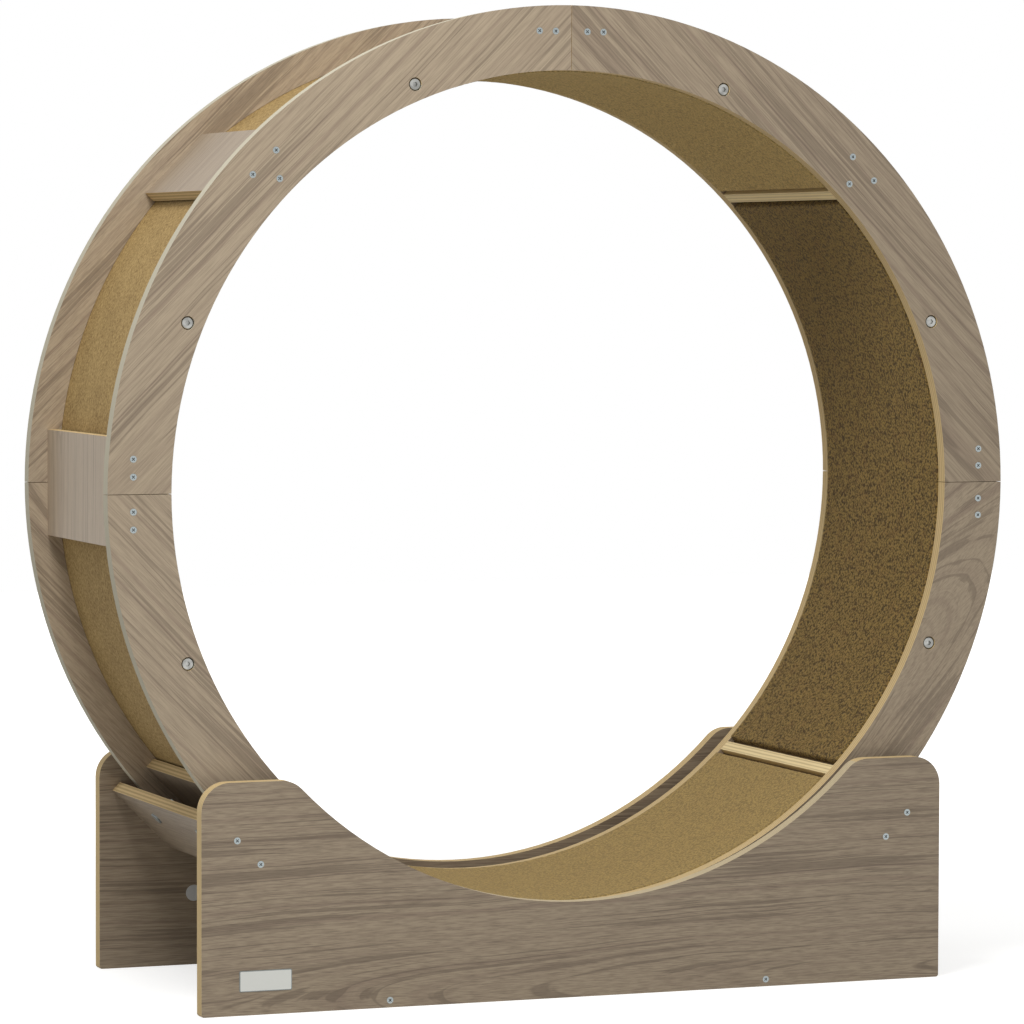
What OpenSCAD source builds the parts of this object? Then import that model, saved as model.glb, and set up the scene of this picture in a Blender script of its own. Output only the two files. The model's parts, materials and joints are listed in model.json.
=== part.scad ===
/* [Wheel rings] */
// Outer diameter of the two rings
wheel_d = 1000; // [800:10:1200]
// Width of a ring from its rim to its inner edge
ring_w = 67; // [60:1:90]
// Thickness of the ring sheet
ring_t = 15; // [12:0.5:21]
// Depth of the wheel over both rings
wheel_depth = 309; // [220:1:420]
// Gap at the butt joint between two ring segments
joint_gap = 0.6; // [0.2:0.1:1]

/* [Wheel boards] */
// Thickness of the boards that join the rings
board_t = 12; // [9:0.5:15]
// Step from the rim down to a board's outer face
board_setback = 21; // [15:1:24]
// Length of a joint board along the rim
joint_board_l = 112; // [96:1:140]
// Length of a corner board along the rim
corner_board_l = 90; // [60:1:110]
// Thickness of a divider bar
divider_t = 12; // [9:0.5:15]

/* [Running surface] */
// How far the carpet stands above the ring's inner edge
carpet_rise = 1.5; // [0:0.5:4]
// Thickness of the carpet
carpet_t = 8; // [5:0.5:10]
// Gap between a carpet's end and a divider bar
carpet_end_gap = 3; // [0.5:0.1:6]
// Thickness of a runway panel
runway_t = 3; // [2:0.5:4]
// Thickness of an outer skin
skin_t = 3; // [2:0.5:4]
// Depth of the grooves in the rings that hold the panels
groove_depth = 4; // [2:0.5:5]
// Outer diameter of a tie rod
tie_d = 12; // [10:0.5:14]

/* [Base] */
// Length of the base
base_l = 825; // [780:5:860]
// Height of the side panels
base_h = 237; // [215:1:260]
// Thickness of a side panel
panel_t = 15; // [12:0.5:21]
// Gap between a ring and a side panel
side_gap = 19; // [8:1:30]
// Gap between the wheel's lowest point and the floor
floor_gap = 27.5; // [22:0.5:32]
// How far the panel's arc stands inside the ring's inner edge
arc_inset = 5; // [0:0.5:9]
// Radius of the panel's four upper corners
corner_r = 30; // [10:1:36]
// Radius of the panel's two lower corners
foot_r = 3; // [2:0.5:12]
// Thickness of the bottom board
bottom_t = 15; // [12:0.5:18]
// Length of the bottom board
bottom_l = 500; // [480:5:560]
// Gap between the rim and a cross board
rim_gap = 6; // [3:0.5:12]
// Width of a cross board along the rim
cross_board_w = 90; // [60:1:110]
// Distance in from the base's end to the point that a cross board leans toward
cross_end = 50.5; // [45:0.5:70]
// Distance down from the panels' top to that point
cross_drop = 71.5; // [50:0.5:90]

/* [Rollers] */
// Distance from the middle of the base to a roller's axle
roller_x = 210.5; // [190:0.5:220]
// Diameter of the roller at the bottom of its groove
roller_d = 40; // [30:1:46]
// Height of the roller's flanges over its groove
flange_h = 3.5; // [2:0.5:6]
// Thickness of a roller's flange
flange_t = 2.5; // [1.5:0.5:4]
// Play between the ring and the flange on each side
groove_play = 0.5; // [0.4:0.1:1.5]
// Diameter of a roller's axle bolt
axle_d = 8; // [6:0.5:10]
// Sheet thickness of a roller bracket
bracket_t = 2.5; // [1.5:0.5:4]
// Length of a roller bracket
bracket_l = 60; // [50:1:80]

/* [Fasteners] */
// Diameter of the wood screws
screw_d = 4; // [3:0.5:5]
// Head diameter of the wood screws
screw_head_d = 7; // [6:0.1:8]
// Length of the wood screws
screw_l = 35; // [28:1:45]
// Distance from a board's middle to the first screw
screw_offset = 17.6; // [14:0.1:22]
// Step from the first screw to the second
screw_pitch = 18; // [15:0.5:22]
// Diameter of the socket bolts
bolt_d = 6; // [4:0.5:7]
// Head diameter of the socket bolts
bolt_head_d = 12.4; // [10:0.1:14]
// Length of the socket bolts
bolt_l = 30; // [24:1:40]
// Distance from the wheel's middle plane to a cross board bolt
cross_bolt_y = 77; // [40:1:100]
// Distance from a cross board's middle up to its bolts
cross_bolt_rise = 16; // [0:1:24]
// Length of the cross board bolts
cross_bolt_l = 25; // [20:1:28]

/* [Marks] */
// Width of the name plate
plate_w = 56; // [30:1:90]
// Height of the name plate
plate_h = 21.5; // [12:0.5:30]
// Distance from the panel's end to the name plate
plate_inset = 40; // [20:1:80]
// Distance from the floor to the name plate
plate_rise = 24; // [10:1:60]
// Thickness of the name plate
plate_t = 0.8; // [0.4:0.1:1.5]
// Diameter of the round panel mark
mark_d = 17.5; // [10:0.5:30]
// Distance from the panel's end to the panel mark
mark_inset = 106; // [90:1:140]
// Distance from the floor to the panel mark
mark_rise = 78; // [50:1:100]
// Thickness of the panel mark
mark_t = 0.6; // [0.3:0.1:1]

/* [Hidden] */
QUARTERS = ["right", "top", "left", "bottom"];
CORNERS = ["top_right", "top_left", "bottom_left", "bottom_right"];
ENDS = ["front", "rear"];
SIDES = ["left", "right"];

// Clearances: between curved seats, of a fastener in its hole, of a glued face, of a turning roller
seat_gap = 0.3;
hole_gap = 0.2;
glue_gap = 0.1;
run_gap = 0.3;
bore_gap = 0.05;
// How far a cut runs past the faces that it opens
overrun = 1;

quarter = 90;
eighth = quarter / 2;
tie_angles = [for (a = [eighth / 2 : eighth : 360]) a];

// The wheel, from its axis outwards
rim_r = wheel_d / 2;
ring_in_r = rim_r - ring_w;
board_out_r = rim_r - board_setback;
board_in_r = board_out_r - board_t;
board_mid_r = board_out_r - board_t / 2;
tie_r = (ring_in_r + board_in_r) / 2;
carpet_in_r = ring_in_r - carpet_rise;
carpet_out_r = carpet_in_r + carpet_t;
runway_in_r = carpet_out_r + glue_gap;
runway_out_r = runway_in_r + runway_t;
skin_out_r = board_in_r - seat_gap;
skin_in_r = skin_out_r - skin_t;
ring_face_y = wheel_depth / 2;
ring_back_y = ring_face_y - ring_t;
ring_mid_y = ring_face_y - ring_t / 2;
axis_z = floor_gap + rim_r;

// The base
panel_back_y = ring_face_y + side_gap;
panel_face_y = panel_back_y + panel_t;
arc_r = ring_in_r - arc_inset;
cross_in_r = rim_r + rim_gap;
cross_out_r = cross_in_r + board_t;
cross_mid_r = cross_in_r + board_t / 2;
cross_lean = atan2(axis_z + cross_drop - base_h, base_l / 2 - cross_end);
cross_angles = [180 + cross_lean, 360 - cross_lean];
arc_corner_z = base_h - corner_r;
arc_corner_x = sqrt(pow(arc_r + corner_r, 2) - pow(axis_z - arc_corner_z, 2));

// The rollers, which carry the rims
roller_r = roller_d / 2;
roller_axis_r = rim_r + run_gap + roller_r;
roller_z = axis_z - sqrt(pow(roller_axis_r, 2) - pow(roller_x, 2));
groove_w = ring_t + 2 * groove_play;
roller_w = groove_w + 2 * flange_t;
flange_r = roller_r + flange_h;
bracket_play = 0.7;
cheek_in = roller_w / 2 + bracket_play;
cheek_out = cheek_in + bracket_t;
cheek_wall = 5;
cheek_top_r = axle_d / 2 + cheek_wall;
bracket_screw_inset = 11;
bracket_screw_x = bracket_l / 2 - bracket_screw_inset;
bracket_screw_l = 13;

// Fastener heads
head_cone_h = 2.4;
recess_l = 3.9;
recess_t = 0.9;
recess_depth = 1.4;
bolt_head_h = 3.2;
bolt_edge = 0.7;
bolt_sink = 1;
bolt_seat_y = bolt_sink + bolt_head_h - ring_face_y;
socket_d = 5.4;
socket_depth = 2;
counterbore_gap = 0.8;
counterbore_d = bolt_head_d + 2 * counterbore_gap;
nut_d = 11.5;
nut_h = 5;
axle_head_d = 14.6;
axle_head_h = 5;
axle_nut_h = 6.4;
thread_end = 1.5;
disc_head_d = 14;
disc_head_h = 1.6;
plate_corner_r = 1.5;
plate_rim = 0.9;

screw_spots = [for (s = [-1, 1]) s * screw_offset];
far_spots = [for (s = [-1, 1]) s * (screw_offset + screw_pitch)];

small_fn = 32;
$fn = 180;

// A place on the wheel's plane from its angle, radius and distance along the rim
function spot(angle, r, along) = r * [cos(angle), sin(angle)] + along * [-sin(angle), cos(angle)];

joint_spots = [
    for (i = [0 : 3]) for (t = concat(screw_spots, far_spots)) spot(i * quarter, board_mid_r, t)
];
corner_spots = [
    for (i = [0 : 3]) for (t = screw_spots) spot(eighth + i * quarter, board_mid_r, t)
];
divider_spots = [for (i = [0 : 3]) spot(eighth + i * quarter, tie_r, 0)];
ring_screw_spots = concat(joint_spots, corner_spots, divider_spots);
first_quarter_spots = [for (p = ring_screw_spots) if (p[0] > 0 && p[1] > 0) p];
tie_spots = [for (a = tie_angles) spot(a, tie_r, 0)];
first_quarter_ties = [for (p = tie_spots) if (p[0] > 0 && p[1] > 0) p];
cross_spots = [for (a = cross_angles) for (t = screw_spots) spot(a, cross_mid_r, t)];
bottom_spots = [for (s = [-1, 1]) [s * roller_x, bottom_t / 2 - axis_z]];

// Turns a piece drawn on the +X side of the wheel's axis to its angle
module at_angle(angle) {
    translate([0, 0, axis_z])
        rotate([0, -angle, 0])
            children();
}

// Places a piece at each spot of the wheel's plane
module at_spots(spots) {
    for (p = spots)
        translate([p[0], 0, p[1]])
            children();
}

// Draws front pieces as they are and rear pieces mirrored
module on_end(end) {
    mirror([0, end == "rear" ? 1 : 0, 0])
        children();
}

// Extrudes an outline of the wheel's plane from one depth to another
module slab(y_from, y_to) {
    translate([0, y_to, 0])
        rotate([90, 0, 0])
            linear_extrude(y_to - y_from)
                children();
}

// A cylinder along the wheel's axis from one depth to another
module pin(r, y_from, y_to) {
    translate([0, y_from, 0])
        rotate([-90, 0, 0])
            cylinder(r = r, h = y_to - y_from, $fn = small_fn);
}

// A cone along the wheel's axis, with its radius at each depth
module taper(r_from, r_to, y_from, y_to) {
    translate([0, y_from, 0])
        rotate([-90, 0, 0])
            cylinder(r1 = r_from, r2 = r_to, h = y_to - y_from, $fn = small_fn);
}

// A box from one corner to the opposite one
module box(low, high) {
    translate(low)
        cube(high - low);
}

// The outline of a quarter of a flat ring, each end cut short by a gap
module quarter_ring(r_in, r_out, end_gap) {
    intersection() {
        difference() {
            circle(r_out);
            circle(r_in);
        }
        translate([end_gap, end_gap])
            square(r_out);
    }
}

// A countersunk wood screw with a cross recess, its head flush at the given depth
module wood_screw(face_y, length) {
    difference() {
        union() {
            taper(screw_head_d / 2, screw_d / 2, face_y, face_y + head_cone_h);
            pin(screw_d / 2, face_y + head_cone_h, face_y + length - screw_d);
            taper(screw_d / 2, 0, face_y + length - screw_d, face_y + length);
        }
        for (turn = [eighth, quarter + eighth])
            translate([0, face_y, 0])
                rotate([0, turn, 0])
                    slab(-overrun, recess_depth)
                        square([recess_l, recess_t], center = true);
    }
}

// The countersunk hole of a wood screw through a sheet
module screw_hole(face_y, sheet_t) {
    slope = (screw_head_d - screw_d) / 2 / head_cone_h;
    mouth_r = screw_head_d / 2 + hole_gap;
    taper(mouth_r + slope * overrun, screw_d / 2 + hole_gap, face_y - overrun, face_y + head_cone_h);
    pin(screw_d / 2 + hole_gap, face_y, face_y + sheet_t + overrun);
}

// The pilot hole of a wood screw in the end of a board
module pilot_hole(end_y, sheet_t) {
    pin(screw_d / 2 + hole_gap, end_y - overrun, end_y + screw_l - sheet_t + overrun);
}

// A quarter of a ring, with its screw holes, counterbores and panel grooves
module ring_segment(end, index) {
    color("tan")
        on_end(end)
            at_angle(index * quarter)
                difference() {
                    slab(-ring_face_y, -ring_back_y)
                        quarter_ring(ring_in_r, rim_r, joint_gap / 2);
                    at_spots(first_quarter_spots)
                        screw_hole(-ring_face_y, ring_t);
                    at_spots(first_quarter_ties) {
                        pin(bolt_d / 2 + hole_gap, -ring_face_y, -ring_back_y + overrun);
                        pin(counterbore_d / 2, -ring_face_y - overrun, bolt_seat_y);
                    }
                    slab(-ring_back_y - groove_depth, -ring_back_y + overrun)
                        difference() {
                            circle(runway_out_r + seat_gap);
                            circle(runway_in_r - seat_gap);
                        }
                    slab(-ring_back_y - groove_depth, -ring_back_y + overrun)
                        difference() {
                            circle(skin_out_r + seat_gap);
                            circle(skin_in_r - seat_gap);
                        }
                }
}

// A board across the drum, with pilot holes in both ends
module drum_board(angle, length, spots) {
    color("burlywood")
        at_angle(angle)
            difference() {
                box([board_in_r, -ring_back_y, -length / 2], [board_out_r, ring_back_y, length / 2]);
                for (end = ENDS)
                    on_end(end)
                        for (t = spots)
                            translate([board_mid_r, 0, t])
                                pilot_hole(-ring_back_y, ring_t);
            }
}

module joint_board(index) {
    drum_board(index * quarter, joint_board_l, concat(screw_spots, far_spots));
}

module corner_board(index) {
    drum_board(eighth + index * quarter, corner_board_l, screw_spots);
}

// A bar on edge between two carpets, its inner edge flush with the rings
module divider_bar(index) {
    color("wheat")
        at_angle(eighth + index * quarter)
            difference() {
                box([ring_in_r, -ring_back_y, -divider_t / 2], [board_in_r, ring_back_y, divider_t / 2]);
                for (end = ENDS)
                    on_end(end)
                        translate([tie_r, 0, 0])
                            pilot_hole(-ring_back_y, ring_t);
            }
}

// A curved sheet from one divider bar to the next
module curved_sheet(index, r_in, r_out, half_width, end_gap) {
    at_angle(index * quarter - eighth)
        slab(-half_width, half_width)
            quarter_ring(r_in, r_out, divider_t / 2 + end_gap);
}

module outer_skin(index) {
    color("darkgoldenrod")
        curved_sheet(index, skin_in_r, skin_out_r, ring_back_y + groove_depth - seat_gap, seat_gap);
}

module runway_panel(index) {
    color("peru")
        curved_sheet(index, runway_in_r, runway_out_r, ring_back_y + groove_depth - seat_gap, seat_gap);
}

module carpet(index) {
    color([0.42, 0.35, 0.23])
        curved_sheet(index, carpet_in_r, carpet_out_r, ring_back_y - seat_gap, carpet_end_gap);
}

// Tubes that space the rings and take the socket bolts
module tie_rods() {
    color("silver")
        translate([0, 0, axis_z])
            at_spots(tie_spots)
                difference() {
                    pin(tie_d / 2, -ring_back_y, ring_back_y);
                    pin(bolt_d / 2 + hole_gap, -ring_back_y - overrun, ring_back_y + overrun);
                }
}

module ring_screws(end) {
    color("silver")
        on_end(end)
            translate([0, 0, axis_z])
                at_spots(ring_screw_spots)
                    wood_screw(-ring_face_y, screw_l);
}

// A flat headed bolt with a rounded edge and a hexagon socket
module socket_bolt(seat_y) {
    top_y = seat_y - bolt_head_h;
    difference() {
        union() {
            taper(bolt_head_d / 2 - bolt_edge, bolt_head_d / 2, top_y, top_y + bolt_edge);
            pin(bolt_head_d / 2, top_y + bolt_edge, seat_y);
            pin(bolt_d / 2, seat_y, seat_y + bolt_l);
        }
        translate([0, top_y - overrun, 0])
            rotate([-90, 0, 0])
                cylinder(d = socket_d, h = overrun + socket_depth, $fn = 6);
    }
}

module ring_bolts(end) {
    color("gainsboro")
        on_end(end)
            translate([0, 0, axis_z])
                at_spots(tie_spots)
                    socket_bolt(bolt_seat_y);
}

// The outline of a plate whose upper and lower corners have their own radii
module rounded_plate(width, height, upper_r, lower_r) {
    for (s = [-1, 1]) {
        translate([s * (width / 2 - upper_r), height - upper_r])
            circle(upper_r);
        translate([s * (width / 2 - lower_r), lower_r])
            circle(lower_r);
    }
    translate([-width / 2, lower_r])
        square([width, height - upper_r - lower_r]);
    translate([upper_r - width / 2, height / 2])
        square([width - 2 * upper_r, height / 2]);
    translate([lower_r - width / 2, 0])
        square([width - 2 * lower_r, height / 2]);
}

// What rounds the sharp corner between the panel's top and its arc, from the top to just past their tangent
module arc_corner_cut() {
    centre = [arc_corner_x, arc_corner_z];
    to_axis = [-arc_corner_x, axis_z - arc_corner_z] / (arc_r + corner_r);
    along_arc = [-to_axis[1], to_axis[0]];
    past = centre + to_axis * (corner_r + overrun) + along_arc * overrun;
    difference() {
        polygon([
            centre,
            [arc_corner_x, base_h + overrun],
            [past[0], base_h + overrun],
            past
        ]);
        translate(centre)
            circle(corner_r);
    }
}

module panel_outline() {
    difference() {
        rounded_plate(base_l, base_h, corner_r, foot_r);
        translate([0, axis_z])
            circle(arc_r);
        for (m = [0, 1])
            mirror([m, 0])
                arc_corner_cut();
    }
}

module side_panel(end) {
    color("tan")
        on_end(end)
            difference() {
                slab(-panel_face_y, -panel_back_y)
                    panel_outline();
                translate([0, 0, axis_z])
                    at_spots(concat(cross_spots, bottom_spots))
                        screw_hole(-panel_face_y, panel_t);
            }
}

// Places a piece drawn along a cross board's normal, from its underside up, at each of its bolts
module at_cross_bolts(index) {
    rise = index == 0 ? -cross_bolt_rise : cross_bolt_rise;
    at_angle(cross_angles[index])
        for (end = ENDS)
            on_end(end)
                translate([cross_out_r, cross_bolt_y, rise])
                    rotate([0, -90, 0])
                        children();
}

// A clearance hole for the shank of a bolt, through a sheet that it stands on
module bolt_hole(sheet_t) {
    translate([0, 0, -overrun])
        cylinder(r = bolt_d / 2 + hole_gap, h = sheet_t + 2 * overrun, $fn = small_fn);
}

module cross_board(index) {
    half_w = cross_board_w / 2;
    color("burlywood")
        difference() {
            at_angle(cross_angles[index])
                difference() {
                    box([cross_in_r, -panel_back_y, -half_w], [cross_out_r, panel_back_y, half_w]);
                    for (end = ENDS)
                        on_end(end)
                            for (t = screw_spots)
                                translate([cross_mid_r, 0, t])
                                    pilot_hole(-panel_back_y, panel_t);
                }
            at_cross_bolts(index)
                bolt_hole(board_t);
        }
}

module cross_board_bolts() {
    color("silver")
        for (index = [0, 1])
            at_cross_bolts(index) {
                translate([0, 0, -disc_head_h])
                    cylinder(r = disc_head_d / 2, h = disc_head_h, $fn = small_fn);
                cylinder(r = bolt_d / 2, h = cross_bolt_l, $fn = small_fn);
            }
}

module cross_board_nuts() {
    color("silver")
        for (index = [0, 1])
            at_cross_bolts(index)
                translate([0, 0, board_t])
                    difference() {
                        cylinder(d = nut_d, h = nut_h, $fn = 6);
                        bolt_hole(nut_h);
                    }
}

// Places a piece at each roller bracket's screws, pointing down into the bottom board
module at_bracket_screws() {
    for (s = [-1, 1])
        for (e = [-1, 1])
            for (t = [-1, 1])
                translate([s * roller_x + t * bracket_screw_x, e * ring_mid_y, bottom_t + bracket_t])
                    rotate([-90, 0, 0])
                        children();
}

module bottom_board() {
    color("burlywood")
        difference() {
            box([-bottom_l / 2, -panel_back_y, 0], [bottom_l / 2, panel_back_y, bottom_t]);
            for (end = ENDS)
                on_end(end)
                    translate([0, 0, axis_z])
                        at_spots(bottom_spots)
                            pilot_hole(-panel_back_y, panel_t);
            at_bracket_screws()
                pin(screw_d / 2 + hole_gap, 0, bracket_screw_l + overrun);
        }
}

module panel_screws(end) {
    color("silver")
        on_end(end)
            translate([0, 0, axis_z])
                at_spots(concat(cross_spots, bottom_spots))
                    wood_screw(-panel_face_y, screw_l);
}

// Places a piece at the axle of one roller
module at_roller(side, end) {
    translate([side == "left" ? -roller_x : roller_x, 0, roller_z])
        on_end(end)
            translate([0, -ring_mid_y, 0])
                children();
}

// A channel of bent sheet whose two cheeks hold the axle
module bracket(side, end) {
    foot_z = bottom_t - roller_z;
    floor_z = foot_z + bracket_t;
    half_l = bracket_l / 2;
    color("slategray")
        at_roller(side, end)
            difference() {
                union() {
                    box([-half_l, -cheek_out, foot_z], [half_l, cheek_out, floor_z]);
                    for (m = [0, 1])
                        mirror([0, m, 0])
                            slab(cheek_in, cheek_out) {
                                circle(cheek_top_r);
                                polygon([
                                    [-half_l, foot_z],
                                    [half_l, foot_z],
                                    [half_l, floor_z],
                                    [cheek_top_r, 0],
                                    [-cheek_top_r, 0],
                                    [-half_l, floor_z]
                                ]);
                            }
                }
                pin(axle_d / 2 + bore_gap, -cheek_out - overrun, cheek_out + overrun);
                for (t = [-1, 1])
                    translate([t * bracket_screw_x, 0, floor_z])
                        rotate([-90, 0, 0])
                            screw_hole(0, bracket_t);
            }
}

// A grooved roller whose flanges guide the ring
module roller(side, end) {
    color("dimgray")
        at_roller(side, end)
            rotate([-90, 0, 0])
                rotate_extrude()
                    polygon([
                        [axle_d / 2 + bore_gap, -roller_w / 2],
                        [flange_r, -roller_w / 2],
                        [flange_r, -groove_w / 2 - groove_play],
                        [roller_r, -groove_w / 2],
                        [roller_r, groove_w / 2],
                        [flange_r, groove_w / 2 + groove_play],
                        [flange_r, roller_w / 2],
                        [axle_d / 2 + bore_gap, roller_w / 2]
                    ]);
}

module axle_bolts() {
    color("silver")
        for (side = SIDES)
            for (end = ENDS)
                at_roller(side, end) {
                    pin(axle_d / 2, -cheek_out, cheek_out + axle_nut_h + thread_end);
                    translate([0, -cheek_out - axle_head_h, 0])
                        rotate([-90, 0, 0])
                            cylinder(d = axle_head_d, h = axle_head_h, $fn = 6);
                }
}

module axle_nuts() {
    nut_end = cheek_out + axle_nut_h;
    color("silver")
        for (side = SIDES)
            for (end = ENDS)
                at_roller(side, end)
                    difference() {
                        translate([0, cheek_out, 0])
                            rotate([-90, 0, 0])
                                cylinder(d = axle_head_d, h = axle_nut_h, $fn = 6);
                        pin(axle_d / 2 + hole_gap, cheek_out - overrun, nut_end + overrun);
                    }
}

module bracket_screws() {
    color("silver")
        at_bracket_screws()
            wood_screw(0, bracket_screw_l);
}

// A thin plate with a raised field inside its rim
module name_plate() {
    field_w = plate_w - 2 * plate_rim;
    field_h = plate_h - 2 * plate_rim;
    color("silver")
        translate([plate_inset + plate_w / 2 - base_l / 2, 0, plate_rise]) {
            slab(-panel_face_y - plate_t / 2, -panel_face_y)
                rounded_plate(plate_w, plate_h, plate_corner_r, plate_corner_r);
            translate([0, 0, plate_rim])
                slab(-panel_face_y - plate_t, -panel_face_y - plate_t / 2)
                    rounded_plate(field_w, field_h, plate_rim, plate_rim);
        }
}

module panel_mark() {
    color("lightgray")
        translate([mark_inset - base_l / 2, 0, mark_rise])
            pin(mark_d / 2, panel_back_y - mark_t, panel_back_y);
}

for (i = [0 : 3]) {
    for (e = ENDS)
        ring_segment(e, i);
    joint_board(i);
    corner_board(i);
    divider_bar(i);
    outer_skin(i);
    runway_panel(i);
    carpet(i);
}
for (e = ENDS) {
    ring_screws(e);
    ring_bolts(e);
    side_panel(e);
    panel_screws(e);
    for (s = SIDES) {
        bracket(s, e);
        roller(s, e);
    }
}
for (i = [0, 1])
    cross_board(i);
tie_rods();
bottom_board();
cross_board_bolts();
cross_board_nuts();
axle_bolts();
axle_nuts();
bracket_screws();
name_plate();
panel_mark();
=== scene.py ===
"""A cat exercise wheel in laminated plywood: finishes, carpets, small marks and a plain studio."""

import json
import math
import random

import bmesh
import bpy
from mathutils import Euler, Matrix, Vector, noise


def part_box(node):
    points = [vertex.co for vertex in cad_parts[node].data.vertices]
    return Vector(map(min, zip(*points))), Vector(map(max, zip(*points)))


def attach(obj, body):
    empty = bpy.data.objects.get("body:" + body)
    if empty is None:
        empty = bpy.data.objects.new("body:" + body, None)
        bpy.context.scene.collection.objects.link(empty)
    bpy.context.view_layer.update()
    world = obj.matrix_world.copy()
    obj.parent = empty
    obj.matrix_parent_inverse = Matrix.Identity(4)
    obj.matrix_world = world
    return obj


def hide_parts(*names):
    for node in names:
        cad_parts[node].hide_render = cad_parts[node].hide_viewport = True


bl_info = {
    "name": "Cat Exercise Wheel",
    "version": (1, 0, 0),
    "blender": (4, 5, 0),
    "location": "3D Viewport > Sidebar > Cat Wheel",
    "description": "Finishes the pieces of a cat exercise wheel and sets up its studio",
    "category": "Object",
}

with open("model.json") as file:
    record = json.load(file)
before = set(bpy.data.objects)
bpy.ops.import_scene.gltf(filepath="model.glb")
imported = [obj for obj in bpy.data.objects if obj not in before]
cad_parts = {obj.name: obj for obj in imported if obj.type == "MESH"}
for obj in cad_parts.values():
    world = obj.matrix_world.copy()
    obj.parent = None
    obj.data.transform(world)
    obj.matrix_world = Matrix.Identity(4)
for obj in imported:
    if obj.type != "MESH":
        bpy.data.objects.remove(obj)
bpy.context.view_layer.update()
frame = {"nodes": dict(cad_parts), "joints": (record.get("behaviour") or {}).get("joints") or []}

MM = 0.001
PER_M = 1000.0
QUARTER_TURN = math.radians(90)
EIGHTH_TURN = QUARTER_TURN / 2
CORNERS = ["top_right", "top_left", "bottom_left", "bottom_right"]
QUARTERS = ["right", "top", "left", "bottom"]
ENDS = ["front", "rear"]
SIDES = ["left", "right"]
ACROSS_THE_WHEEL = Vector((0, 1, 0))
AXIS = Vector(next(j for j in frame["joints"] if j["name"] == "wheel_spin")["pos_m"])

# The seeds of the random draws
SEEDS = {"rings": 11, "boards": 23, "base": 37}

# The segment whose print closes into an arch, its grain's lean in radians and its pith in millimetres
ARCHED_SEGMENT = ("front", "bottom_right")
ARCH_LEAN = 0.14
ARCH_PITH = (0, 42, 45)

# Painted shade: how much darker the print is made on some boards, by a part of their names, where less light
# falls on them
PAINTED_SHADES = {
    "ring_top_right": 0.15,
    "ring_bottom_right": 0.12,
    "corner_board": 0.3,
    "side_panel": 0.24,
    "cross_board": 0.45,
}

# The printed wood in millimetres: the waves in its growth rings and the breaks in its dark lines, along the
# grain and across it, the depth of the waves, the lines' spacing and the pores' width
GRAIN_WAVE = (300, 100)
WAVE_DEPTH = 16
LINE_BREAK = (260, 16)
LINE_SPACING = 3.2
PORE_WIDTH = 1.1

# How much of the dark wood shows in the lines and in the pores
LINE_DEPTH = 0.46
PORE_DEPTH = 0.42

# A surface is a face of the sheet, not an edge, where its normal is within about 45 degrees of the sheet's
FACE_FROM = 0.7

# An edge is painted paler and greyer where its distance from the axis along its normal, in metres, times its
# side's share, is more
GREYED_FROM = 0.2

# The fibres in millimetres on sawn edges, and on the bare bars in X, Y and Z, whose grain runs along Y. They
# are drawn coarser than real ones so that they show. The blur is how strongly they break up the plies
EDGE_FIBRE = 3.846
EDGE_BLUR = 1.6
EDGE_RELIEF = 3
BAR_FIBRES = (2.5, 45.45, 2.5)
BAR_BLUR = 2.2

# The clouds in the hardboard, in millimetres, and how strongly they show beside its flecks
BOARD_CLOUD = 38.46
CLOUD_SHARE = 0.2

# Painted sheen: how much of the pale sheen colour is painted into each carpet's hollows and onto its tips,
# more on the carpets seen along their surface
CARPET_PAINTED_SHEEN = {"right": (0, 0), "top": (0.48, 0.92), "left": (0.1, 0.1), "bottom": (0.34, 0.41)}

# The small marks on metal, nylon and paper in millimetres. A wave texture of scale 1 repeats in WAVE_REPEAT
PLATING_GRAIN = 1.111
TARNISH_SPOT = 6.25
LATHE_RING = 0.7854
WAVE_REPEAT = math.tau / 20
BRUSH_MARK = (16.67, 16.67, 0.3333)
PLATE_FIELD_DEPTH = 0.1
PAPER_MOTTLE = 2


def linear(hex_colour):
    """The linear colour of an sRGB hex value."""
    shares = [int(hex_colour[i : i + 2], 16) / 255 for i in (1, 3, 5)]
    return tuple(c / 12.92 if c <= 0.04045 else ((c + 0.055) / 1.055) ** 2.4 for c in shares)


def colour(name, hex_colour, description):
    """A colour that the user can change."""
    return bpy.props.FloatVectorProperty(
        name=name,
        description=description,
        subtype="COLOR",
        size=3,
        min=0,
        max=1,
        default=linear(hex_colour),
    )


def length(name, millimetres, description):
    """A length that the user can change."""
    return bpy.props.FloatProperty(
        name=name,
        description=description,
        unit="LENGTH",
        min=0,
        precision=4,
        default=millimetres * MM,
    )


class CatWheelLaminate(bpy.types.PropertyGroup):
    """The printed wood figure of the laminate"""

    pale: colour("Pale Wood", "#B8A68D", "The ground of the printed wood")
    middle: colour("Middle Wood", "#A4917C", "The broad bands of the printed wood")
    dark: colour("Dark Wood", "#695A4A", "The thin dark lines of the printed wood")
    ring_spacing: length("Growth Ring Spacing", 7.5, "Width of the broadest growth rings")
    pore_length: length("Pore Length", 30, "Length of the fine dark pores along the grain")


class CatWheelPly(bpy.types.PropertyGroup):
    """The raw edges of the plywood"""

    cream: colour("Long Grain", "#D6BC8A", "Plies that show their long grain")
    # A paler, greyer colour painted on the edges that face away from the wheel's axis, and more weakly on
    # the front side panel's edges that face it
    greyed: colour("Greyed Edge", "#BCB5A0", "The sanded and sealed edges of the rims and arcs")
    brown: colour("End Grain", "#9A8054", "Plies that show their end grain and the glue lines")
    sapwood: colour("Sapwood", "#F0DAA6", "The paler plies of the bare bars")
    ply_thickness: length("Ply Thickness", 2.1, "Thickness of one ply")


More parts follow.
